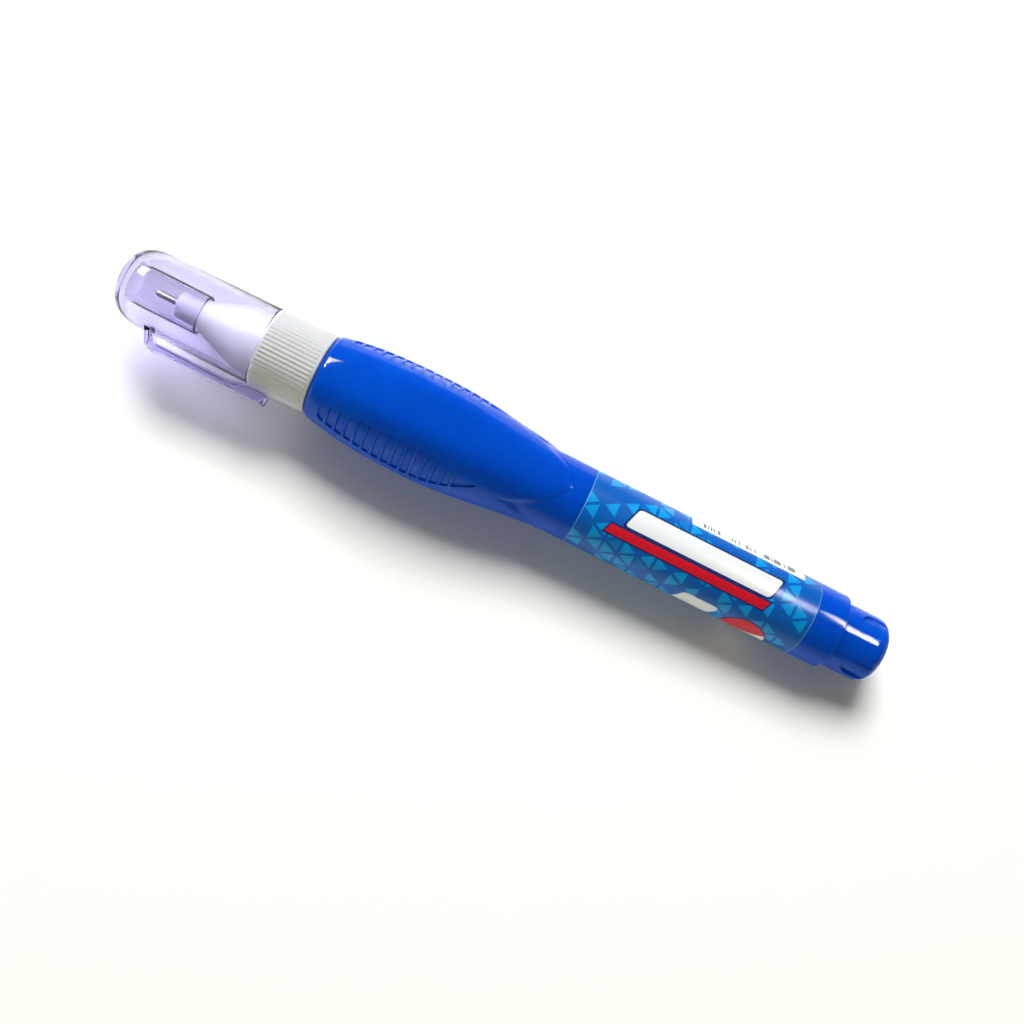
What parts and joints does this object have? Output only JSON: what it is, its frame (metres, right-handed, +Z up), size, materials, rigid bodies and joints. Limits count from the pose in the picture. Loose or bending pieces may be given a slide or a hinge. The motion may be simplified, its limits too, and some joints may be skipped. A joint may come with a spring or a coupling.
{
  "type": "correction fluid pen",
  "caption": "Squeeze correction pen: clear clip cap, white ribbed nozzle with a sprung metal valve tip, blue barrel with a laddered grip, printed sleeve and stepped tail.",
  "frame": {"origin": "centre of the tail's end face", "axes": "+X along the pen to the capped tip; +Z up, through the middle of one smooth grip face, with the pen lying on the panel opposite; the clip points towards +Y, a little below level"},
  "size_m": [0.138, 0.018, 0.0177],
  "materials": {
    "barrel_blue": "soft satin moulding",
    "label_film": "glossy printed film",
    "nozzle_white": "satin moulding",
    "tip_steel": "drawn tube",
    "spring_steel": "bright wire",
    "retainer_white": "satin moulding",
    "ball_steel": "polished",
    "cap_violet": "clear tinted moulding"
  },
  "bodies": {
    "pen": {"barrel": "barrel_blue", "label_sleeve": "label_film", "nozzle": "nozzle_white", "metal_tip": "tip_steel", "spring_retainer": "retainer_white", "valve_spring": "spring_steel"},
    "cap": {"cap": "cap_violet"},
    "needle": {"valve_needle": "tip_steel"},
    "ball": {"mixing_ball": "ball_steel"}
  },
  "joints": [
    {"name": "cap_pull", "type": "slide", "parent": "pen", "child": "cap", "axis": [1, 0, 0], "range_m": [0, 0.04]},
    {"name": "needle_press", "type": "slide", "parent": "pen", "child": "needle", "axis": [-1, 0, 0], "range_m": [0, 0.0004], "stiffness_N_per_m": 150, "springref_m": -0.002, "deforming": ["valve_spring"]},
    {"name": "ball_roll", "type": "slide", "parent": "pen", "child": "ball", "axis": [1, 0, 0], "range_m": [0, 0.106]}
  ]
}
